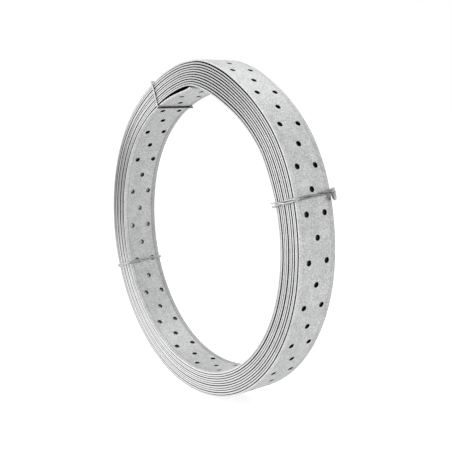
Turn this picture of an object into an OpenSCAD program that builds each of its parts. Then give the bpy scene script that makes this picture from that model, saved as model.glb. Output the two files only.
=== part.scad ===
// Roll of perforated steel strap, held by three wire ties.
// The roll stands on its rim: +Z is up, +Y runs along the roll's axis,
// and the origin is on the floor below the roll's centre.
// Angles around the roll start at the top and grow towards +X.

/* [Strap] */
// Width of the strap
strap_width = 40; // [34:1:60]
// Thickness of the sheet
strap_thickness = 2; // [1:0.1:3]
// Diameter of the holes
hole_d = 5; // [3:0.1:6]
// Depth to which the punch turns the sheet down around each hole of the outer face
punch_rollover = 0.2; // [0.1:0.05:0.4]
// Distance along the strap from one pair of holes to the next
hole_pitch = 40; // [30:1:60]
// Distance across the strap between the two holes of a pair
hole_gauge = 20; // [12:1:26]

/* [Roll] */
// Diameter of the roll's bore
bore_d = 275; // [200:1:400]
// Turns that show on the end of the roll
turns = 11; // [6:1:16]
// Gap between one turn and the next
turn_gap = 0.4; // [0.2:0.1:1]
// Depth to which the gaps are open at each end
gap_depth = 6; // [2:0.5:7]
// Where the inner end of the strap is
inner_end_angle = 361; // [340:1:370]
// Where the outer end of the strap is
outer_end_angle = 207.2; // [180:0.1:220]

/* [Ties] */
// Diameter of the tie wire
wire_d = 1.6; // [1:0.1:2.5]
// Gap left between a tie and the roll
tie_clearance = 0.1; // [0.1:0.05:0.3]
// Where the single wire tie is
top_tie_angle = 335.3; // [325:0.1:340]
// Where the left double wire tie is
left_tie_angle = 246.9; // [240:0.1:255]
// Where the right double wire tie is
right_tie_angle = 71; // [65:0.1:75]
// Length of the twisted ends of a tie
twist_length = 11; // [6:1:16]
// Length of wire in one turn of a twist
twist_lead = 4.5; // [3:0.5:8]
// How far the right tie's twist stands out from the rim, beyond its bend
twist_off_rim = 3.2; // [2:0.1:6]
// How far the right tie's twist stands out from the end, beyond its bend
twist_off_end = 2; // [1:0.1:4]

/* [Hidden] */
$fn = 96;

bore_r = bore_d / 2;
turn_pitch = strap_thickness + turn_gap;
outer_r = bore_r + turns * turn_pitch - turn_gap;
roll_axis_z = outer_r;
// A cut starts this far outside the face that it opens
cut_over = 1;

// Holes follow the strap, so their angle comes from its length at mid thickness
inner_step = hole_pitch / 2 / (bore_r + strap_thickness / 2) * 180 / PI;
outer_step = hole_pitch / 2 / (outer_r - strap_thickness / 2) * 180 / PI;
inner_rows = floor(360 / inner_step);
outer_rows = floor(360 / outer_step);

// A bend leaves this radius inside the wire
bend_inside_r = 3 * tie_clearance;
bend_r = bend_inside_r + wire_d / 2;
// Wire centre to roll face
tie_stand = tie_clearance + wire_d / 2;
// The two strands of a double tie are pressed together
strand_offset = 0.48 * wire_d;
twist_r = strand_offset + wire_d / 2;
// Flattened twists press against their strands to this share of their radius
twist_bite = 0.9;
// Share of the right tie's twist that lies above its wires
twist_above = 0.42;
twist_slices = ceil(3 * twist_length);
// Sides of a twisted wire
wire_sides = 8;

zinc = "silver";
tie_zinc = "gainsboro";

// Places its children on the roll at an angle, with local +Z pointing away from the axis
module at_angle(angle) {
    translate([0, 0, roll_axis_z])
        rotate([0, angle, 0])
            children();
}

// Section of the roll: radius across, width up, with the gaps open at both ends
module roll_section() {
    difference() {
        translate([bore_r, -strap_width / 2])
            square([outer_r - bore_r, strap_width]);
        for (turn = [1 : turns - 1], side = [-1, 1])
            translate([bore_r + turn * turn_pitch - turn_gap, side * strap_width / 2])
                translate([0, -gap_depth])
                    square([turn_gap, 2 * gap_depth]);
    }
}

// One hole in the middle of the strap, between two radii
module blind_hole(r_low, r_high) {
    translate([0, 0, r_low])
        cylinder(d = hole_d, h = r_high - r_low);
}

// The turned-down edge around the mouth of a hole, on the face that the punch enters
module punched_edge() {
    height = punch_rollover + cut_over;
    translate([0, 0, outer_r - punch_rollover])
        cylinder(d1 = hole_d, d2 = hole_d + 2 * height, h = height);
}

// Rows alternate: one hole in the middle, then a pair
module hole_row(single) {
    if (single)
        children();
    else
        for (side = [-1, 1])
            translate([0, side * hole_gauge / 2, 0])
                children();
}

module strap() {
    color(zinc)
        difference() {
            translate([0, 0, roll_axis_z])
                rotate([90, 0, 0])
                    rotate_extrude($fn = 360)
                        roll_section();
            // The inner end is cut half a step from a single hole
            for (row = [0 : inner_rows - 1])
                at_angle(inner_end_angle - (row + 0.5) * inner_step)
                    hole_row(row % 2 == 0)
                        blind_hole(bore_r - cut_over, bore_r + strap_thickness);
            // The outer end is cut half a step from a pair
            for (row = [0 : outer_rows - 1])
                at_angle(outer_end_angle + (row + 0.5) * outer_step)
                    hole_row(row % 2 == 1) {
                        blind_hole(outer_r - strap_thickness, outer_r + cut_over);
                        punched_edge();
                    }
        }
}

// A quarter bend of wire about a corner's centre, from direction `from` to `from` + 90
module wire_bend(from) {
    rotate([0, 0, from])
        rotate_extrude(angle = 90)
            translate([bend_r, 0])
                circle(d = wire_d);
}

// One strand around the roll's section, drawn flat: X along the roll's axis, Y away from it
module strand() {
    x_bend = strap_width / 2 + tie_stand - bend_r;
    y_in = bore_r - tie_stand + bend_r;
    y_out = outer_r + tie_stand - bend_r;
    translate([x_bend, y_out, 0])
        wire_bend(0);
    translate([-x_bend, y_out, 0])
        wire_bend(90);
    translate([-x_bend, y_in, 0])
        wire_bend(180);
    translate([x_bend, y_in, 0])
        wire_bend(270);
    for (y = [y_in - bend_r, y_out + bend_r])
        translate([-x_bend, y, 0])
            rotate([0, 90, 0])
                cylinder(d = wire_d, h = 2 * x_bend);
    for (x = [-x_bend - bend_r, x_bend + bend_r])
        translate([x, y_in, 0])
            rotate([-90, 0, 0])
                cylinder(d = wire_d, h = y_out - y_in);
}

// Strands standing across the strap, side by side along the roll
module wire_tie(offsets) {
    rotate([90, 0, 90])
        for (offset = offsets)
            translate([0, 0, offset])
                strand();
}

// Two wires twisted together, standing on the origin
module twist() {
    $fn = wire_sides;
    linear_extrude(twist_length, twist = 360 * twist_length / twist_lead, slices = twist_slices)
        for (side = [-1, 1])
            translate([side * strand_offset, 0])
                circle(d = wire_d);
}

// Twisted ends bent flat against the far end of the roll, beside the strands
module flat_ends(strands_half_width) {
    translate([
        strands_half_width + twist_bite * twist_r,
        strap_width / 2 + tie_clearance + twist_r,
        outer_r - twist_length
    ])
        twist();
}

// Twisted ends folded along the roll, standing off its far outer edge
module proud_ends() {
    bend_y = strap_width / 2 + tie_stand - bend_r;
    bend_z = outer_r + tie_stand - bend_r;
    tilt = atan2(twist_off_end, twist_off_rim);
    // Stem from the bends to the middle of the twist
    translate([0, bend_y, bend_z])
        rotate([-tilt, 0, 0])
            for (side = [-1, 1])
                translate([side * strand_offset, 0, bend_r])
                    cylinder(d = wire_d, h = norm([twist_off_end, twist_off_rim]) - bend_r);
    translate([-twist_above * twist_length, bend_y + twist_off_end, bend_z + twist_off_rim])
        rotate([0, 90, 0])
            twist();
}

module tie_top() {
    color(tie_zinc)
        at_angle(top_tie_angle) {
            wire_tie([0]);
            flat_ends(wire_d / 2);
        }
}

module tie_left() {
    color(tie_zinc)
        at_angle(left_tie_angle) {
            wire_tie([-strand_offset, strand_offset]);
            flat_ends(twist_r);
        }
}

module tie_right() {
    color(tie_zinc)
        at_angle(right_tie_angle) {
            wire_tie([-strand_offset, strand_offset]);
            proud_ends();
        }
}

strap();
tie_top();
tie_left();
tie_right();
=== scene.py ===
# %% [markdown]
# # A roll of perforated steel strap
# Builders' fixing strap is sold in rolls: some 10 m of galvanised strip, 40 mm by 2 mm,
# punched all along with 5 mm holes, coiled turn on turn and held by three twisted wire ties.
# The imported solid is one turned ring. Here the strap is wound as the real one is, so the
# spiral, its two cut ends, the gaps between the turns and every hole are real shapes.

import math

import bmesh
import bpy
import numpy as np
from mathutils import Matrix, Vector


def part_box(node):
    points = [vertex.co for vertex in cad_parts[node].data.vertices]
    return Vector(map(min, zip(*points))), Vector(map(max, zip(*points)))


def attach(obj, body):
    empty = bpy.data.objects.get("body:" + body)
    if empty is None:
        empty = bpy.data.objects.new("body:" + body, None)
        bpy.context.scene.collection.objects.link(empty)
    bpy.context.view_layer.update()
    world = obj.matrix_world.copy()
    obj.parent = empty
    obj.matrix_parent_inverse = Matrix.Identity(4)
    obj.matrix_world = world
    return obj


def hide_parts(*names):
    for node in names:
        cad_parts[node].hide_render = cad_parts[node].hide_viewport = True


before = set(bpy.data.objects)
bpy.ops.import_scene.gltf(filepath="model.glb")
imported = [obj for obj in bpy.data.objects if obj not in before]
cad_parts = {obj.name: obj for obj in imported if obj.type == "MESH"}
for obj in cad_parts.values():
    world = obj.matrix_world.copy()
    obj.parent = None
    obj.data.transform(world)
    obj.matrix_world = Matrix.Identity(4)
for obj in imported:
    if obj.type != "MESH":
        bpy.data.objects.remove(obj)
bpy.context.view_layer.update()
MM = 0.001

# %% [markdown]
# ## Sizes
# All lengths are in millimetres until a shape is put in its place. The roll's axis runs along
# Y, close to that of the strap's solid. Angles start at the top of the roll and grow towards
# +X. The strap starts at its inner end and is wound backwards through the angles from there.

# %% Sizes of the strap and its roll
STRAP_WIDTH = 40.0
STRAP_THICKNESS = 2.0
HOLE_D = 5.0
ROW_STEP = 20.0  # along the strap, from a single hole to a pair
HOLE_GAUGE = 20.0  # across the strap, between the holes of a pair
TILE = 2 * ROW_STEP
ALL_ROWS = 540
INNER_CUT, OUTER_CUT = 11.5, 10.4  # from the cut ends to the first and the last row
STRAP_LENGTH = INNER_CUT + (ALL_ROWS - 1) * ROW_STEP + OUTER_CUT
INNER_END_ANGLE = 0.9
WIRE_R = 0.8
ring_low, ring_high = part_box("strap")
RING_X = (ring_low.x + ring_high.x) / 2 / MM
RING_Z = (ring_low.z + ring_high.z) / 2 / MM
print("middle of the ring at", round(RING_X, 2), round(RING_Z, 2))

# %% [markdown]
# ## The line that the strap follows
# A wound roll is never quite round. Its shape is kept as two short tables, by the angle wound
# since the inner end: how far the joint between the first two turns lies outside a circle,
# and how far apart the turns are. Each turn adds one pitch to the turn inside it.

# %% Shape of the roll
FIRST_JOINT = [
    (0, 5.0), (4.7, 3.9), (7.7, 2.8), (11.7, 1.6), (15.7, 0.6), (19.7, -0.3), (23.7, -1.0),
    (29.7, -1.55), (39.7, -1.4), (49.7, -0.7), (69.7, 0.2), (89.7, 0.5), (109.7, 1.7),
    (129.7, 2.7), (154.7, 3.6), (164.7, 3.7), (179.7, 3.25), (199.7, 2.7), (219.7, 2.0),
    (239.7, 1.3), (259.7, 0.6), (269.7, 0.4), (279.7, 0.6), (289.7, 1.0), (299.7, 1.9),
    (309.7, 3.8), (319.7, 3.5), (329.7, 2.9), (334.7, 2.7), (339.7, 3.2), (344.7, 4.0),
    (349.7, 5.1), (353.7, 6.0), (357.7, 6.95), (360, 7.14),
]
TURN_PITCH = [
    (0, 2.14), (8, 2.18), (24, 2.19), (50, 2.16), (70, 2.19), (90, 2.28), (110, 2.32),
    (130, 2.35), (155, 2.31), (170, 2.31), (190, 2.23), (220, 2.22), (240, 2.27), (260, 2.35),
    (280, 2.37), (290, 2.45), (300, 2.53), (310, 2.42), (320, 2.4), (330, 2.44), (340, 2.55),
    (350, 2.49), (355, 2.38), (360, 2.14),
]
TURNS = 11.427
# The inner end springs this far off the turn behind it
END_SPRING = [
    (0, 0.3), (1.7, 1.8), (4.7, 2.5), (7.7, 2.5), (11.7, 2.1), (15.7, 1.6), (19.7, 1.1),
    (24.7, 0.6), (34, 0),
]
# Where a stretch of one turn lies in or out: angle wound, half its width, how far
LOOSE_PLACES = [(328, 30, -0.45), (688, 30, -0.45), (3932, 42, 0.25), (4098, 40, -0.9)]
UNEVEN = [(0.05, 2.31, 0.4), (0.04, 5.17, 2.0)]  # height, waves in a turn, phase
SIDEWAYS = [(0.22, 0.37, 1.0), (0.13, 1.63, 0.0)]  # the same, along the roll's axis
GRID = 0.25  # degrees
SMOOTHED = 9  # degrees
PAST_END = 30  # degrees that the line goes on beyond the strap's outer end

wound = np.arange(0, TURNS * 360 + PAST_END, GRID)
within = wound % 360
turn = np.floor(wound / 360)


def bump(centre, width, height):
    """A smooth rise of one stretch of the strap, by the angle wound."""
    x = np.clip((wound - centre) / width, -1, 1)
    return height * np.cos(x * math.pi / 2) ** 2


joint = np.interp(within, *zip(*FIRST_JOINT))
pitch = np.interp(within, *zip(*TURN_PITCH))
offset = joint + turn * pitch - pitch / 2 - STRAP_THICKNESS / 2
soft = np.hanning(int(SMOOTHED / GRID))
offset = np.convolve(np.pad(offset, len(soft), "edge"), soft / soft.sum(), "same")
offset = offset[len(soft) : -len(soft)]
offset -= np.interp(wound, *zip(*END_SPRING))
for place in LOOSE_PLACES:
    offset += bump(*place)
# No two turns lie quite alike
turning = np.radians(wound)
for rise, waves, phase in UNEVEN:
    offset += rise * np.sin(waves * turning + phase)
print("turns:", TURNS, "mean step from turn to turn:", round(float(pitch.mean()), 2))

# %% [markdown]
# The radius comes from the strap's length: with it, the spiral from end to end at the middle
# of the sheet is exactly as long as it should be.

# %% Radius and length along the strap
inside = wound <= TURNS * 360


def wound_length(radius):
    """The length of the strap's middle line up to each grid angle."""
    middle = radius + offset + STRAP_THICKNESS / 2
    slope = np.gradient(middle, turning)
    per_step = np.hypot(middle, slope) * math.radians(GRID)
    return np.concatenate([[0], np.cumsum((per_step[1:] + per_step[:-1]) / 2)])


def middle_radius():
    """The radius at which the strap's length comes out right."""
    low, high = 130.0, 150.0  # the answer lies between
    for _ in range(40):
        guess = (low + high) / 2
        length = np.interp(TURNS * 360, wound, wound_length(guess))
        low, high = (guess, high) if length < STRAP_LENGTH else (low, guess)
    return (low + high) / 2


BORE_RADIUS = middle_radius()
along = wound_length(BORE_RADIUS)
inner_face = BORE_RADIUS + offset
print("base radius", round(BORE_RADIUS, 2), "faces", inner_face[inside].min().round(1),
      "to", (inner_face[inside].max() + STRAP_THICKNESS).round(1))

# %% [markdown]
# ## Winding
# The strap is modelled flat, which is how it is punched, and then every point is moved onto
# the spiral: its place along the strap gives the angle, and its height in the sheet goes
# along the spiral's own normal, so that the sheet keeps its thickness. The slitting rolls press
# the last few millimetres at each edge thinner on both faces and bend them out a little, from
# a soft crease on. Each turn lies a touch to one side of the last.

# %% Flat strap to spiral
FLARE = 0.1  # how far the very edge is bent out
PRESSED = 0.2  # taken off each face at the very edge
PRESSED_FROM = 16.2  # from the strap's middle line
CREASE = 0.16  # share of the pressed width with half the slope

middle_line = inner_face + STRAP_THICKNESS / 2
line_angle = np.radians(INNER_END_ANGLE) - turning
line_x = middle_line * np.sin(line_angle)
line_z = middle_line * np.cos(line_angle)
normal_x, normal_z = -np.gradient(line_z), np.gradient(line_x)
normal_size = np.hypot(normal_x, normal_z)
outward = np.sign(np.mean(normal_x * line_x + normal_z * line_z))
normal_x, normal_z = outward * normal_x / normal_size, outward * normal_z / normal_size
sideways = sum(reach * np.sin(waves * turning + phase) for reach, waves, phase in SIDEWAYS)


def on_spiral(flat):
    """Flat strap points, as rows of (along, across, up), on the wound roll in millimetres."""
    s, y, h = flat.T
    lift = h - STRAP_THICKNESS / 2
    edge = np.clip((np.abs(y) - PRESSED_FROM) / (STRAP_WIDTH / 2 - PRESSED_FROM), 0, None)
    edge = np.where(edge < CREASE, edge / 2, edge - CREASE / 2) / (1 - CREASE / 2)
    lift = lift * (1 - PRESSED * edge) + FLARE * edge
    x = np.interp(s, along, line_x) + lift * np.interp(s, along, normal_x)
    z = np.interp(s, along, line_z) + lift * np.interp(s, along, normal_z)
    return np.column_stack([x, y + np.interp(s, along, sideways), z])


PROBES = 20001
along_probe = np.tile(np.linspace(0, STRAP_LENGTH, PROBES), 2)
across_probe = np.repeat([-STRAP_WIDTH / 2, STRAP_WIDTH / 2], PROBES)
face_probe = np.full(len(along_probe), STRAP_THICKNESS)
probe = on_spiral(np.column_stack([along_probe, across_probe, face_probe]))
# The roll stands on its outer turn and is centred on the ring
ROLL_X = RING_X - (probe[:, 0].min() + probe[:, 0].max()) / 2
ROLL_Z = -probe[:, 2].min()
print("roll's axis", round(ROLL_X, 2), round(ROLL_Z, 2))
print("ring's axis", round(RING_X, 2), round(RING_Z, 2))

# %% [markdown]
# ## One tile of strap
# The strap repeats every 40 mm: a single hole, then a pair. A tile is a flat grid whose lines
# are moved to where the holes and edges need them. Each hole is the gap left by a few
# grid faces, bridged to a circle. Extruding the sheet gives its thickness, and a bevel rounds
# the punched rims and the sheared edges. The tile's two ends stay open, so tiles can be joined.
# Edges are listed in the mesh's own order, and the faces are sorted in the end because
# extruding mixes them up, so that every run gives the same mesh.

# %% Tile maker
EDGE_ROUND = 0.34
RIM_ROUND = 0.2
HOLE_ZONE = 15  # no hole reaches further from the middle line
WELD = 0.01  # points closer than this are one
TINY = 1e-4


def lined_grid(bm, s_lines, y_lines):
    """A flat grid with its lines moved to the given places."""
    made = bmesh.ops.create_grid(
        bm, x_segments=len(s_lines) - 1, y_segments=len(y_lines) - 1, size=1
    )
    for axis, lines in ((0, s_lines), (1, y_lines)):
        old = sorted({round(v.co[axis], 5) for v in made["verts"]})
        place = dict(zip(old, lines))
        for v in made["verts"]:
            v.co[axis] = place[round(v.co[axis], 5)]


def punch(bm, s, y, patch, sides):
    """Swaps the grid faces within a patch for a ring of faces around a round hole."""
    middles = {f: f.calc_center_median() for f in bm.faces}
    cut = [f for f, m in middles.items() if abs(m.x - s) < patch and abs(m.y - y) < patch]
    edges = {e for f in cut for e in f.edges}
    outline = {e for e in edges if not all(f in cut for f in e.link_faces)}
    bmesh.ops.delete(bm, geom=cut, context="FACES")
    square = [e for e in bm.edges if e in outline]
    ring = bmesh.ops.create_circle(
        bm,
        segments=sides,
        radius=HOLE_D / 2,
        matrix=Matrix.Translation((s, y, 0)),
    )
    on_circle = set(ring["verts"])
    circle = [e for e in bm.edges if e.verts[0] in on_circle]
    bmesh.ops.bridge_loops(bm, edges=square + circle)


def make_tile(name, s_cell, y_lines, patch, sides, rims):
    """A 40 mm tile of strap, open at both ends."""
    bm = bmesh.new()
    s_lines = list(s_cell) + [v + ROW_STEP for v in s_cell[1:]]
    lined_grid(bm, s_lines, y_lines)
    punch(bm, ROW_STEP / 2, 0, patch, sides)
    for side in (-1, 1):
        punch(bm, ROW_STEP * 1.5, side * HOLE_GAUGE / 2, patch, sides)
    made = bmesh.ops.extrude_face_region(bm, geom=list(bm.faces))
    top = [v for v in made["geom"] if isinstance(v, bmesh.types.BMVert)]
    bmesh.ops.translate(bm, verts=top, vec=(0, 0, STRAP_THICKNESS))
    bmesh.ops.recalc_face_normals(bm, faces=bm.faces)

    def is_long(e):
        a, b = e.verts
        return (
            abs(abs(a.co.y) - STRAP_WIDTH / 2) < TINY
            and abs(a.co.y - b.co.y) < TINY
            and abs(a.co.z - b.co.z) < TINY
        )

    long_edges = [e for e in bm.edges if is_long(e)]
    bmesh.ops.bevel(bm, geom=long_edges, offset=EDGE_ROUND, offset_type="OFFSET", segments=2,
                    profile=0.5, affect="EDGES", material=-1)
    if rims:
        upright = [(f, f.calc_center_median()) for f in bm.faces if abs(f.normal.z) < 0.1]
        wall = [f for f, m in upright if abs(m.y) < HOLE_ZONE and TINY < m.x < TILE - TINY]
        wall_edges = {e for f in wall for e in f.edges}
        flat_edges = [e for e in bm.edges if abs(e.verts[0].co.z - e.verts[1].co.z) < TINY]
        rim_edges = [e for e in flat_edges if e in wall_edges]
        bmesh.ops.bevel(bm, geom=rim_edges, offset=RIM_ROUND, offset_type="OFFSET",
                        segments=rims, profile=0.5, affect="EDGES", material=-1)
    ends = [f for f in bm.faces if any(
        all(abs(v.co.x - end) < TINY for v in f.verts) for end in (0, TILE))]
    bmesh.ops.delete(bm, geom=ends, context="FACES")
    by_place = sorted(bm.faces, key=lambda f: tuple(f.calc_center_median()))
    rank = {f: n for n, f in enumerate(by_place)}
    bm.faces.sort(key=lambda f: rank[f])
    mesh = bpy.data.meshes.new(name)
    bm.to_mesh(mesh)
    bm.free()
    count = sum(len(p.vertices) - 2 for p in mesh.polygons)
    print(name, "tile:", len(mesh.polygons), "faces,", count, "triangles")
    return mesh


# %% [markdown]
# The first and last turns show their faces, so their tiles have close grid lines, 16-sided
# holes and rounded rims. The turns between them show only their edges and what can be seen
# through a hole, so their tiles have a third of the faces.

# %% The two tiles
# Grid lines lie a patch away from the middle of each hole, and at the creases
PATCH = 3.4
SHOWN_Y = (-20, -16.8, -16.2, -13.4, -10, -6.6, -3.4, 0, 3.4, 6.6, 10, 13.4, 16.2, 16.8, 20)
SHOWN_S = (0, 3.4, 6.6, 10, 13.4, 16.6, 20)
HIDDEN_Y = (-20, -13.4, -6.6, -3.4, 3.4, 6.6, 13.4, 20)
HIDDEN_S = (0, 6.6, 13.4, 20)
shown_tile = make_tile("shown", SHOWN_S, SHOWN_Y, PATCH, sides=16, rims=1)
hidden_tile = make_tile("hidden", HIDDEN_S, HIDDEN_Y, PATCH, sides=8, rims=0)

# %% [markdown]
# ## The whole strap
# An Array modifier repeats each tile, and the three runs are put end to end. Where a run of
# shown tiles meets the hidden ones, the coarse edges are split at the fine lines' points,
# so the sheet has no crack there. The ends are then closed, which gives the two square cuts.

# %% Runs of tiles
FIRST_RUN = 24  # tiles: the first turn and a little more
LAST_RUN = 28  # the last turn and a little more
ALL_TILES = ALL_ROWS // 2


def run_of(mesh, count, first, bm):
    """Adds a run of tiles to the strap, with an Array modifier doing the repeats."""
    holder = bpy.data.objects.new("run", mesh)
    bpy.context.scene.collection.objects.link(holder)
    array = holder.modifiers.new("repeat", "ARRAY")
    array.use_relative_offset, array.use_constant_offset = False, True
    array.constant_offset_displace = (TILE, 0, 0)
    array.count = count
    array.use_merge_vertices, array.merge_threshold = True, WELD
    ready = holder.evaluated_get(bpy.context.evaluated_depsgraph_get())
    joined = bpy.data.meshes.new_from_object(ready)
    joined.transform(Matrix.Translation((first * TILE, 0, 0)))
    bm.from_mesh(joined)
    bpy.data.objects.remove(holder)
    bpy.data.meshes.remove(joined)


def split_at(bm, s):
    """Splits the open edges across the strap at s wherever another open edge has a point."""
    here = [v for v in bm.verts if abs(v.co.x - s) < TINY and v.is_boundary]
    for z in (0, STRAP_THICKNESS):
        level = [v for v in here if abs(v.co.z - z) < TINY]
        for point in sorted({round(v.co.y, 4) for v in level}):
            across = [e for e in bm.edges if e.is_boundary and all(v in level for v in e.verts)]
            for e in across:
                a, b = sorted((v.co.y for v in e.verts))
                if a + WELD < point < b - WELD:
                    near = min(e.verts, key=lambda v: v.co.y)
                    _, new = bmesh.utils.edge_split(e, near, (point - a) / (b - a))
                    level.append(new)


bm = bmesh.new()
run_of(shown_tile, FIRST_RUN, 0, bm)
run_of(hidden_tile, ALL_TILES - FIRST_RUN - LAST_RUN, FIRST_RUN, bm)
run_of(shown_tile, LAST_RUN, ALL_TILES - LAST_RUN, bm)
for s in (FIRST_RUN * TILE, (ALL_TILES - LAST_RUN) * TILE):
    split_at(bm, s)
bmesh.ops.remove_doubles(bm, verts=bm.verts, dist=WELD)
# The cuts lie a little further from the holes than the tiles' ends do
for v in bm.verts:
    if v.co.x > ALL_TILES * TILE - TINY:
        v.co.x = STRAP_LENGTH
    elif v.co.x > TINY:
        v.co.x += INNER_CUT - ROW_STEP / 2
open_edges = [e for e in bm.edges if e.is_boundary]
bmesh.ops.holes_fill(bm, edges=open_edges, sides=0)
bmesh.ops.recalc_face_normals(bm, faces=bm.faces)
print("strap:", len(bm.faces), "faces; open edges left:", sum(e.is_boundary for e in bm.edges))

# %% [markdown]
# A UV map keeps each point's place on the flat strap, in metres, before the winding moves it.
# The finish uses it for marks that run along the strap, as rolling leaves them.

# %% UV map and winding
uv = bm.loops.layers.uv.new("strap")
for f in bm.faces:
    for loop in f.loops:
        loop[uv].uv = (loop.vert.co.x * MM, loop.vert.co.y * MM)
strap_mesh = bpy.data.meshes.new("wound_strap")
bm.to_mesh(strap_mesh)
bm.free()
points = np.empty(len(strap_mesh.vertices) * 3)
strap_mesh.vertices.foreach_get("co", points)
flat_points = points.reshape(-1, 3)
points = on_spiral(flat_points) + (ROLL_X, 0, ROLL_Z)
strap_mesh.vertices.foreach_set("co", (points * MM).ravel())
strap_mesh.polygons.foreach_set("use_smooth", [True] * len(strap_mesh.polygons))
strap_mesh.set_sharp_from_angle(angle=math.radians(50))
strap_mesh.update()
strap = bpy.data.objects.new("wound_strap", strap_mesh)
bpy.context.scene.collection.objects.link(strap)
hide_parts("strap")
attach(strap, "root")
print("wound:", sum(len(p.vertices) - 2 for p in strap_mesh.polygons), "triangles")

# %% [markdown]
# The faces that are shut in between two turns, and the walls of the holes, get painted shade:
# a dark colour for the shade that falls there. Only the outer face of the last turn, the inner
# face of the first one and the strap's edges are kept out of it. An attribute says how far
# each point is out of the painted shade, and the finish darkens by it.

# %% Painted shade on shut-in faces and hole walls
along_flat, across_flat, up_flat = flat_points.T
level = up_flat / STRAP_THICKNESS
last_turn = along_flat > np.interp((TURNS - 1) * 360, wound, along)
first_turn = along_flat < np.interp(360, wound, along)
# Painted shade everywhere but the outer face of the last turn and the inner face of the first
out_of_shade = np.maximum(level * last_turn, (1 - level) * first_turn)
# Walls of the holes get painted shade
WALL = 0.05  # a point this close to a hole's radius is on its wall
row = np.round((along_flat - INNER_CUT) / ROW_STEP)
off_row = along_flat - INNER_CUT - row * ROW_STEP
off_middle = np.abs(across_flat)
off_hole = np.where(row % 2 == 0, off_middle, np.abs(off_middle - HOLE_GAUGE / 2))
out_of_shade[np.hypot(off_row, off_hole) < HOLE_D / 2 + WALL] = 0
# Share of the points kept out of the painted shade
print("open faces:", round(100 * float(out_of_shade.mean())), "% of the points")

# %% [markdown]
# The sheared edges get painted light and shade that changes round the roll: the bright line
# along them is painted widest low on the left and at the right, brightest low on the left, and
# painted shade dulls it at the upper left and at the top. Painted light also stands for the light
# that falls through the holes on the turns behind, mostly low in the bore.

# %% Painted light and shade on the edges and on turns seen through holes
at_edge = np.clip((off_middle - (STRAP_WIDTH / 2 - EDGE_ROUND)) / EDGE_ROUND, 0, 1)
roll_angle = INNER_END_ANGLE - np.interp(along_flat, along, wound)


def on_side(centre, width, share):
    """A share that is full at one angle of the roll and fades to nothing a width away."""
    away = np.abs((roll_angle - centre + 180) % 360 - 180) / width
    return share * np.cos(np.clip(away, 0, 1) * math.pi / 2) ** 2


def point_values(mesh, name, values):
    """Keeps one number for each point of a mesh, for its finish to read."""
    layer = mesh.attributes.new(name, "FLOAT", "POINT")
    layer.data.foreach_set("value", values.astype(np.float32))


# Painted highlight on the sheared edges, strongest low on the left
sheared_edge_highlight = at_edge * (0.42 + on_side(200, 90, 0.58))
# Painted light widens the bright line low on the left and at the right; painted shade dims it at
# the upper left, the top and a little at the right
at_edge = at_edge ** (1.3 - on_side(200, 80, 0.9) - on_side(95, 60, 0.8))
for painted_dimming in ((285, 50, 0.5), (15, 60, 0.4), (95, 60, 0.1)):
    at_edge = at_edge * (1 - on_side(*painted_dimming))
out_of_shade = np.maximum(out_of_shade, at_edge)
second_turn = (along_flat < np.interp(720, wound, along)) & ~first_turn
last_but_one = (along_flat > np.interp((TURNS - 2) * 360, wound, along)) & ~last_turn
near_holes = off_middle < HOLE_ZONE
# Painted light where light falls through the holes onto the inner face of the second turn, mostly
# low in the bore
low_in_bore = np.clip(on_side(212, 95, 4), 0, 1)
out_of_shade = np.maximum(out_of_shade, second_turn * (level < 0.5) * near_holes * low_in_bore)
# A little painted light on the turn under the holes of the last turn
out_of_shade = np.maximum(out_of_shade, last_but_one * (level > 0.5) * near_holes * 0.15)
CUT_END = 0.5  # a point this close to an end is on its cut
out_of_shade[(along_flat < CUT_END) | (along_flat > STRAP_LENGTH - CUT_END)] = 1
point_values(strap_mesh, "sheared_edge_highlight", sheared_edge_highlight)
point_values(strap_mesh, "out_of_painted_shade", out_of_shade)
# The painted light and shade of the edge bands shows most on the inner face of the first turn
point_values(strap_mesh, "band_paint_strength", np.where(first_turn, 1.0, 0.4))
# Share of the points kept out of the painted shade
print("open to the air:", round(100 * float(out_of_shade.mean())), "% of the points")

# %% [markdown]
# ## Wire ties
# Each tie is soft steel wire passed round the section of the roll, with its two ends twisted
# together. A wire is a smooth line of points given a round section by a curve's bevel.
# At its own angle on the roll a tie's points are (along the roll, across the strap, radius).

# %% Helpers for wires
WIRE_ROUNDNESS = 2
TWIST_SPREAD = WIRE_R * 0.98  # wires twisted together press into each other a little
TWIST_LEAD = 4.5
PIGTAIL_LEAD = 4.6


def smooth_line(keys, step=0.7):
    """A Catmull-Rom line through the keys, with points about a step apart."""
    keys = np.asarray(keys, float)
    keys = np.vstack([2 * keys[0] - keys[1], keys, 2 * keys[-1] - keys[-2]])
    out = []
    for a, b, c, d in zip(keys, keys[1:], keys[2:], keys[3:]):
        n = max(2, int(np.linalg.norm(c - b) / step))
        t = np.linspace(0, 1, n, endpoint=False)[:, None]
        out.append(0.5 * (2 * b + (c - a) * t + (2 * a - 5 * b + 4 * c - d) * t**2
                          + (3 * b - a - 3 * c + d) * t**3))
    return np.vstack(out + [keys[-2:-1]])


def strands(line, spread, lead=None, start=0.0, turns_at=None):
    """Two lines that wind round a centre line, a given way apart, one turn in each lead.

    Without a lead, spread and turns_at give both by the distance along the line."""
    step = np.linalg.norm(np.diff(line, axis=0), axis=1)
    travel = np.concatenate([[0], np.cumsum(step)])
    ahead = np.gradient(line, axis=0)
    ahead /= np.linalg.norm(ahead, axis=1)[:, None]
    across = np.array([1.0, 0.0, 0.0])
    frames = []
    for t in ahead:
        across = across - (across @ t) * t
        across /= np.linalg.norm(across)
        frames.append((across, np.cross(t, across)))
    if lead:
        turned = 2 * np.pi * travel / lead + start
    else:
        turned = 2 * np.pi * np.interp(travel, *zip(*turns_at))
        spread = np.interp(travel, *zip(*spread))[:, None]
    one = np.array([math.cos(a) * u + math.sin(a) * v for a, (u, v) in zip(turned, frames)])
    return line + spread * one, line - spread * one


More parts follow.
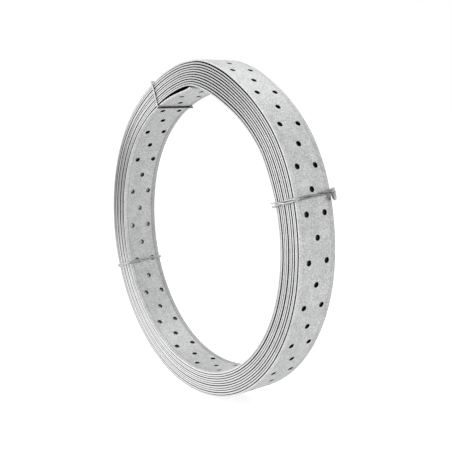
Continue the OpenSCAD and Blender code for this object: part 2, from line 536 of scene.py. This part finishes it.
def section_at(angle):
    """The inner and outer radius of the roll's section at an angle."""
    back = (INNER_END_ANGLE - angle) % 360
    turns_here = np.arange(back, TURNS * 360, 360)
    faces = np.interp([turns_here[0], turns_here[-1]], wound, inner_face)
    return faces[0], faces[1] + STRAP_THICKNESS


def place_at(angle, local):
    """Points (along, across, radius) at an angle of the roll, in metres."""
    a = math.radians(angle)
    t, y, r = np.asarray(local, float).T
    x = ROLL_X + r * math.sin(a) + t * math.cos(a)
    z = ROLL_Z + r * math.cos(a) - t * math.sin(a)
    return np.column_stack([x, y, z]) * MM


def wire_piece(name, node, lines, out_of_shade_at):
    """One mesh of all the wires of a tie. The last argument gives how far each point is out of the
    painted shade.
    """
    curve = bpy.data.curves.new(name, "CURVE")
    curve.dimensions = "3D"
    curve.bevel_depth, curve.bevel_resolution = WIRE_R * MM, WIRE_ROUNDNESS
    curve.use_fill_caps = True
    for line in lines:
        spline = curve.splines.new("POLY")
        spline.points.add(len(line) - 1)
        spline.points.foreach_set("co", np.column_stack([line, np.ones(len(line))]).ravel())
    holder = bpy.data.objects.new(name, curve)
    bpy.context.scene.collection.objects.link(holder)
    ready = holder.evaluated_get(bpy.context.evaluated_depsgraph_get())
    mesh = bpy.data.meshes.new_from_object(ready)
    bpy.data.objects.remove(holder)
    mesh.polygons.foreach_set("use_smooth", [True] * len(mesh.polygons))
    mesh.set_sharp_from_angle(angle=math.radians(60))
    out_of_painted_shade = mesh.attributes.new("out_of_painted_shade", "FLOAT", "POINT")
    for v, value in zip(mesh.vertices, out_of_painted_shade.data):
        radius = math.hypot(v.co.x / MM - ROLL_X, v.co.z / MM - ROLL_Z)
        value.value = out_of_shade_at(radius, v.co.y / MM)
    piece = bpy.data.objects.new(name, mesh)
    bpy.context.scene.collection.objects.link(piece)
    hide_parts(node)
    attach(piece, "root")
    print(name, sum(len(p.vertices) - 2 for p in mesh.polygons), "triangles")
    return piece


# %% [markdown]
# The top tie is one wire. It was pulled tight, so it cuts straight across each face and
# bends sharply at the four corners, standing up a little at the outer near one. Its twisted
# ends lie flat against the far end of the roll. In the bore the wire gets painted shade.

# %% Top tie
HALF = STRAP_WIDTH / 2
TOP_ANGLE = 335.3
low_r, high_r = section_at(TOP_ANGLE)
near, far = -HALF - WIRE_R, HALF + WIRE_R
under, over = low_r - WIRE_R, high_r + FLARE + WIRE_R
top_loop = [
    (0, far + 0.3, over - 3.0), (0, far, over - 0.9), (0, far - 1.0, over), (0, 10, over + 0.1),
    (0, -10, over + 0.1), (0, near + 1.2, over + 0.5), (0, near - 0.4, over - 0.6),
    (0.2, near, over - 6), (0, near, (over + under) / 2), (-0.1, near, under + 4),
    (0, near, under + 0.9), (0, near + 0.9, under), (0, -10, under), (0, 10, under),
    (0, far - 0.9, under), (0, far, under + 0.9), (0, far, (over + under) / 2),
    (0.8, far + 0.2, over - 5.0),
]
tail = smooth_line([
    (1.6, far + 1.0, over - 3.4), (2.2, far + 1.3, over - 7), (2.4, far + 1.2, over - 14),
])
tail_a, tail_b = strands(tail, TWIST_SPREAD, TWIST_LEAD, start=2.4)
top_wire = smooth_line(np.vstack([tail_a[::-1][::2], top_loop, tail_b[::2]]))
# The wire in the bore gets deep painted shade
tie_top = wire_piece("wire_tie_top", "tie_top", [place_at(TOP_ANGLE, top_wire)],
                     lambda radius, across: 0.1 if radius < low_r else 1.0)

# %% [markdown]
# The two side ties are doubled wires. The left one lies with its strands side by side, a
# little askew, and its twisted ends lie flat against the far end too.

# %% Left tie
LEFT_ANGLE = 246.9
BEND = 1.2
low_r, high_r = section_at(LEFT_ANGLE)
under, over = low_r - WIRE_R, high_r + FLARE + WIRE_R


def loop_round(low, high, half):
    """A tight rounded rectangle round the section, from the far outer corner and back to it.

    It stands a little askew: up at its outer near corner and down at its inner one."""
    return [
        (0, half, high - BEND), (0, half - BEND, high), (0.5, 10, high), (1.1, -10, high),
        (1.5, -half + BEND, high), (1.5, -half, high - BEND), (0.5, -half, (high + low) / 2),
        (-0.8, -half, low + BEND), (-0.8, -half + BEND, low), (-0.3, -10, low), (0.6, 10, low),
        (1.1, half - BEND, low), (1.1, half, low + BEND), (0.6, half, (high + low) / 2),
    ]


SLACK = 0.3
left_line = smooth_line(loop_round(under - SLACK, over + SLACK, HALF + WIRE_R + SLACK))
left_a, left_b = strands(left_line, WIRE_R * 1.2, lead=95, start=0.2)
left_tail = smooth_line([
    (2.6, far + 1.2, over - 2.0), (3.2, far + 1.4, over - 7), (3.4, far + 1.3, over - 14),
])
left_c, left_d = strands(left_tail, TWIST_SPREAD, TWIST_LEAD)
left_wires = [
    smooth_line(np.vstack([left_c[::-1][::2], left_a[::3], left_b[-1:]])),
    smooth_line(np.vstack([left_d[::-1][::2], left_b[::3]])),
]
# The wire in the bore gets a little painted shade
tie_left = wire_piece("wire_tie_left", "tie_left", [place_at(LEFT_ANGLE, w) for w in left_wires],
                      lambda radius, across: 0.8 if radius < low_r else 1.0)

# %% [markdown]
# The right tie is twisted on itself across the rim, opens a little on the near end of the
# roll, and has its strands side by side in the bore. Two tables give that by the distance round
# the section: the turns made so far, and how far each strand lies from the middle. Its ends
# come off the far outer corner as a short pigtail, folded along the rim.

# %% Right tie
RIGHT_ANGLE = 71.0
low_r, high_r = section_at(RIGHT_ANGLE)
stand = 2 * WIRE_R
over = high_r + FLARE + stand
# In the bore the strands lie side by side, so the wire lies closer there
under = low_r - WIRE_R - 0.15
RIM_FAR, RIM_NEAR = -2.6, 0.9  # the run along the rim slants up from the near corner
y_in, y_out = HALF + stand - BEND, HALF + stand
right_line = smooth_line([
    (RIM_FAR, y_out, over - 1.4), (RIM_FAR, y_in, over), ((RIM_FAR + RIM_NEAR) / 2, 0, over - 0.2),
    (RIM_NEAR, -y_in, over), (RIM_NEAR, -y_out, over - 1.2), (0.2, -y_out, (over + under) / 2),
    (-0.5, -y_out, under + 1.6), (-0.5, -y_in, under), (-0.5, -10, under), (-0.5, 10, under),
    (-0.5, y_in, under), (-0.5, y_out, under + 1.2), (-1.5, y_out, (over + under) / 2),
    (RIM_FAR, y_out, over - 1.4),
])
RIGHT_TWIST = [(0, 0.1), (43, 1.3), (51, 1.5), (60, 1.55), (69, 2.0), (120, 2.0), (150, 2.6)]
RIGHT_SPREAD = [(0, 0.8), (46, 0.85), (56, 1.1), (68, 0.95), (75, 1.5), (120, 1.5), (150, 0.8)]
right_a, right_b = strands(right_line, RIGHT_SPREAD, turns_at=RIGHT_TWIST)
out_r = high_r + FLARE
pigtail = smooth_line([
    (-2.0, 14.6, out_r + 1.1), (-2.8, 17.2, out_r + 2.0), (-3.6, 19.6, out_r + 2.8),
    (-4.2, 21.6, out_r + 2.4), (-2.6, 22.8, out_r + 1.4), (0.4, 23.0, out_r + 1.4),
    (3.4, 22.2, out_r + 1.8), (4.2, 20.4, out_r + 2.8), (2.2, 19.0, out_r + 3.2),
    (-0.6, 19.2, out_r + 2.8),
])
pig_a, pig_b = strands(pigtail, TWIST_SPREAD, PIGTAIL_LEAD)


def right_out_of_shade(radius, across):
    """The run along the rim gets the most painted shade."""
    return 0.45 if radius > high_r and 2 - HALF < across < HALF - 1 else 0.9


tie_right = wire_piece(
    "wire_tie_right",
    "tie_right",
    [place_at(RIGHT_ANGLE, w) for w in (right_a, right_b, pig_a, pig_b)],
    right_out_of_shade,
)

# %% [markdown]
# ## Finishes
# One helper adds a node with its settings and links, and another turns a written colour
# into the linear values that the shader works with.

# %% Node and colour helpers
def linear(code):
    """A written sRGB colour as linear red, green, blue and alpha."""
    parts = [int(code[i : i + 2], 16) / 255 for i in (1, 3, 5)]
    return [v / 12.92 if v <= 0.04045 else ((v + 0.055) / 1.055) ** 2.4 for v in parts] + [1]


def add(tree, kind, settings=None, **links):
    """Adds a node, with settings by name and links or values by input name."""
    node = tree.nodes.new(kind)
    for key, value in (settings or {}).items():
        setattr(node, key, value)
    for key, value in links.items():
        name = key.replace("_", " ")
        socket = node.inputs[name] if name in node.inputs else node.inputs[int(key[1:])]
        if isinstance(value, bpy.types.NodeSocket):
            tree.links.new(value, socket)
        else:
            socket.default_value = value
    return node


def new_finish(name):
    """A material with an empty node tree, and that tree."""
    finish = bpy.data.materials.new(name)
    finish.use_nodes = True
    finish.node_tree.nodes.clear()
    return finish, finish.node_tree


# %% [markdown]
# Hot-dip galvanised sheet is dull, pale and slightly blotched. Fine flecks carry most of its
# colour, and the zinc's spangles, a few millimetres across, shift it a little. Towards each
# edge the flared bands get painted light and shade: a darker line at each crease, the near band
# lighter and the far band darker, as they turn to or from the light.

# %% Colour of the sheet
# The colour of the painted shade on shut-in faces, hole walls and parts of the wires
SHADE_PAINT = "#1E1D1B"


def ramp(tree, factor, stops):
    """A colour ramp through the given (place, colour) stops."""
    node = add(tree, "ShaderNodeValToRGB", None, Fac=factor)
    bar = node.color_ramp
    while len(bar.elements) < len(stops):
        bar.elements.new(0.5)
    for element, (place, colour) in zip(bar.elements, stops):
        element.position, element.color = place, linear(colour)
    return node.outputs["Color"]


def attribute(tree, name):
    """The numbers kept for each point under a name."""
    return add(tree, "ShaderNodeAttribute", {"attribute_name": name}).outputs["Fac"]


MULTIPLIED = {"data_type": "RGBA", "blend_type": "MULTIPLY"}
sheet, tree = new_finish("galvanised_sheet")
place = add(tree, "ShaderNodeUVMap", {"uv_map": "strap"}).outputs["UV"]
solid_place = add(tree, "ShaderNodeTexCoord").outputs["Object"]
blotch = add(tree, "ShaderNodeTexNoise", None, Vector=solid_place, Scale=90.0, Detail=4.0,
             Roughness=0.6).outputs["Fac"]
fleck = add(tree, "ShaderNodeTexNoise", None, Vector=solid_place, Scale=800.0, Detail=2.0,
            Roughness=0.7).outputs["Fac"]
faint = add(tree, "ShaderNodeMath", {"operation": "MULTIPLY"}, i0=blotch, i1=0.5)
mottle = add(tree, "ShaderNodeMath", {"operation": "MULTIPLY_ADD"}, i0=fleck, i1=1.1,
             i2=faint.outputs["Value"])
tone = ramp(tree, mottle.outputs["Value"],
            [(0.55, "#B2B3B3"), (0.8, "#D2D3D3"), (1.0, "#ECECEC")])
spangle = add(tree, "ShaderNodeTexVoronoi", {"feature": "F1"}, Vector=place, Scale=420.0)
cell = ramp(tree, spangle.outputs["Distance"], [(0.0, "#FFFFFF"), (1.0, "#EDEDED")])
zinc = add(tree, "ShaderNodeMix", MULTIPLIED, i0=1.0, i6=tone, i7=cell).outputs[2]
across_strap = add(tree, "ShaderNodeSeparateXYZ", None, Vector=place).outputs["Y"]
BAND = PRESSED_FROM / STRAP_WIDTH + 0.5  # where the far pressed edge starts, as a share
share_across = add(tree, "ShaderNodeMath", {"operation": "MULTIPLY_ADD"}, i0=across_strap,
                   i1=1 / (STRAP_WIDTH * MM), i2=0.5).outputs["Value"]
# Painted light and shade on the flared edge bands: darker crease lines, a lighter near band and a
# darker far band
band_light_and_shade = ramp(tree, share_across, [
    (1 - BAND - 0.02, "#FFFFFF"), (1 - BAND + 0.01, "#D8D8D8"), (1 - BAND + 0.04, "#F0F0F0"),
    (BAND - 0.05, "#F0F0F0"), (BAND - 0.02, "#C4C4C4"), (BAND + 0.02, "#DADADA")])
with_band_light_and_shade = add(tree, "ShaderNodeMix", MULTIPLIED, i0=attribute(tree, "band_paint_strength"), i6=zinc,
             i7=band_light_and_shade).outputs[2]
print("colour of the sheet:", len(tree.nodes), "nodes")

# %% [markdown]
# The sheared edges get a painted highlight, and what is shut in gets painted shade. The sheet is a
# metal with a soft, wide reflection. The blotches shift its roughness, and the rolls leave fine
# lines along it.

# %% Surface of the sheet
# Painted highlight on the sheared edges, by the attribute
bright = add(tree, "ShaderNodeMix", {"data_type": "RGBA"}, i0=attribute(tree, "sheared_edge_highlight"),
             i6=with_band_light_and_shade, i7=linear("#EBEBEB")).outputs[2]
# Painted shade on shut-in faces and hole walls, by the attribute
colour = add(tree, "ShaderNodeMix", {"data_type": "RGBA"}, i0=attribute(tree, "out_of_painted_shade"),
             i6=linear(SHADE_PAINT), i7=bright).outputs[2]
stretched = add(tree, "ShaderNodeMapping", None, Vector=place, Scale=(25.0, 900.0, 1.0))
rolled = add(tree, "ShaderNodeTexNoise", None, Vector=stretched.outputs["Vector"], Scale=1.0,
             Detail=3.0)
rough = add(tree, "ShaderNodeMapRange", None, Value=blotch, From_Min=0.3, From_Max=0.7,
            To_Min=0.4, To_Max=0.56)
height = add(tree, "ShaderNodeMath", {"operation": "MULTIPLY_ADD"}, i0=rolled.outputs["Fac"],
             i1=0.5, i2=blotch)
grain = add(tree, "ShaderNodeBump", None, Strength=0.12, Distance=0.0003,
            Height=height.outputs["Value"])
metal = add(tree, "ShaderNodeBsdfPrincipled", None, Metallic=0.9,
            Roughness=rough.outputs["Result"], Normal=grain.outputs["Normal"],
            Base_Color=colour)
add(tree, "ShaderNodeOutputMaterial", None, Surface=metal.outputs["BSDF"])
strap_mesh.materials.clear()
strap_mesh.materials.append(sheet)
print("whole finish of the sheet:", len(tree.nodes), "nodes")

# %% [markdown]
# Tying wire has a thinner zinc coat, drawn smooth, so it is a little brighter where it
# catches the light and greyer in its scratches.

# %% Galvanised wire
drawn, tree = new_finish("galvanised_wire")
solid_place = add(tree, "ShaderNodeTexCoord").outputs["Object"]
scuff = add(tree, "ShaderNodeTexNoise", None, Vector=solid_place, Scale=600.0, Detail=5.0)
tone = ramp(tree, scuff.outputs["Fac"], [(0.3, "#9C9D9D"), (0.6, "#D2D3D3")])
grain = add(tree, "ShaderNodeBump", None, Strength=0.15, Distance=0.0002,
            Height=scuff.outputs["Fac"])
# Painted shade on the wire, by the attribute
colour = add(tree, "ShaderNodeMix", {"data_type": "RGBA"}, i0=attribute(tree, "out_of_painted_shade"),
             i6=linear(SHADE_PAINT), i7=tone).outputs[2]
metal = add(tree, "ShaderNodeBsdfPrincipled", None, Metallic=0.95, Roughness=0.36,
            Normal=grain.outputs["Normal"], Base_Color=colour)
add(tree, "ShaderNodeOutputMaterial", None, Surface=metal.outputs["BSDF"])
for tie in (tie_top, tie_left, tie_right):
    tie.data.materials.clear()
    tie.data.materials.append(drawn)
print("finish of the wire:", len(tree.nodes), "nodes")

# %% [markdown]
# ## Floor, light and camera
# A catalogue picture: a white floor that runs into a white surround. The floor adds a little
# white of its own for the camera, and less of it for reflections, so it stays white under the
# roll and the metal doesn't mirror a grey floor.

# %% Floor
FLOOR_REACH = 8  # metres to each side
FLOOR_GLOW = 0.6
MIRRORED_SHARE = 0.72


def seen_directly(tree, path, reflections):
    """1 for what the camera sees, also through clear things, and this much in reflections."""
    seen = add(tree, "ShaderNodeMath", {"operation": "MAXIMUM"},
               i0=path.outputs["Is Camera Ray"], i1=reflections)
    return add(tree, "ShaderNodeMath", {"operation": "MAXIMUM"}, i0=seen.outputs["Value"],
               i1=path.outputs["Is Transmission Ray"]).outputs["Value"]


bm = bmesh.new()
bmesh.ops.create_grid(bm, x_segments=1, y_segments=1, size=FLOOR_REACH)
floor_mesh = bpy.data.meshes.new("floor")
bm.to_mesh(floor_mesh)
bm.free()
floor = bpy.data.objects.new("floor", floor_mesh)
bpy.context.scene.collection.objects.link(floor)
white, tree = new_finish("white_floor")
path = add(tree, "ShaderNodeLightPath")
mirrored = add(tree, "ShaderNodeMath", {"operation": "MULTIPLY"},
               i0=path.outputs["Is Glossy Ray"], i1=MIRRORED_SHARE)
seen = seen_directly(tree, path, mirrored.outputs["Value"])
shade = add(tree, "ShaderNodeBsdfDiffuse", None, Color=linear("#F4F4F4"))
glow = add(tree, "ShaderNodeMath", {"operation": "MULTIPLY"}, i0=seen, i1=FLOOR_GLOW)
own = add(tree, "ShaderNodeEmission", None, Color=(1, 1, 1, 1),
          Strength=glow.outputs["Value"])
both = add(tree, "ShaderNodeAddShader", None, i0=shade.outputs["BSDF"], i1=own.outputs["Emission"])
add(tree, "ShaderNodeOutputMaterial", None, Surface=both.outputs["Shader"])
floor_mesh.materials.append(white)
print("floor:", 2 * FLOOR_REACH, "m square")

# %% [markdown]
# The surround is pure white to the camera and in reflections, and lights the roll at about
# half of that, so that the lamps still shape it.

# %% World
AMBIENT = 0.55
world = bpy.data.worlds.new("white_surround")
bpy.context.scene.world = world
world.use_nodes = True
tree = world.node_tree
tree.nodes.clear()
path = add(tree, "ShaderNodeLightPath")
seen = seen_directly(tree, path, path.outputs["Is Glossy Ray"])
level = add(tree, "ShaderNodeMath", {"operation": "MULTIPLY_ADD"}, i0=seen, i1=1 - AMBIENT,
            i2=AMBIENT)
sky = add(tree, "ShaderNodeBackground", None, Color=(1, 1, 1, 1),
          Strength=level.outputs["Value"])
add(tree, "ShaderNodeOutputWorld", None, Surface=sky.outputs["Background"])
print("surround:", world.name, "with", AMBIENT, "of its white as light")

# %% [markdown]
# Four lamps: a very large one high at the near left, a faint one on the right, one high behind
# for the top of the rim, and one low on the left for the lower part of the near end.


# %% Lamps
def soft_lamp(name, place, aim, size, watts):
    """A square lamp of the given size that faces a point."""
    lamp = bpy.data.lights.new(name, "AREA")
    lamp.shape, lamp.size, lamp.energy = "SQUARE", size, watts
    holder = bpy.data.objects.new(name, lamp)
    holder.location = place
    holder.rotation_euler = (Vector(aim) - Vector(place)).to_track_quat("-Z", "Y").to_euler()
    bpy.context.scene.collection.objects.link(holder)


middle = Vector((ROLL_X * MM, 0, ROLL_Z * MM))
soft_lamp("key_lamp", (-0.8, -1.6, 1.5), middle, 3.0, 25)
soft_lamp("side_lamp", (1.6, -0.5, 0.9), middle, 0.9, 0.5)
soft_lamp("back_lamp", (-0.5, 1.0, 1.6), middle, 1.0, 2.2)
soft_lamp("low_lamp", (-0.8, -0.65, 0.12), middle - Vector((0, 0, 0.1)), 0.7, 0.9)

# %% [markdown]
# The camera looks from the near right, a little from above. Its place is given by its angles
# and its distance from a point close to the middle of the roll.

# %% Camera
AZIMUTH, ELEVATION = math.radians(53.84), math.radians(10.84)
DISTANCE = 0.7199
AIM = Vector((0.010755, 0.016246, 0.004702))  # from the middle of the roll
back = Vector((
    math.sin(AZIMUTH) * math.cos(ELEVATION),
    -math.cos(AZIMUTH) * math.cos(ELEVATION),
    math.sin(ELEVATION),
))
lens = bpy.data.cameras.new("camera")
lens.lens, lens.sensor_width = 57.125, 36
lens.clip_start = 0.01
camera = bpy.data.objects.new("camera", lens)
camera.location = middle + AIM + back * DISTANCE
camera.rotation_euler = (-back).to_track_quat("-Z", "Y").to_euler()
bpy.context.scene.collection.objects.link(camera)
bpy.context.scene.camera = camera
bpy.context.scene.view_settings.view_transform = "Standard"
print("camera at", [round(v, 3) for v in camera.location], "lens", lens.lens, "mm")
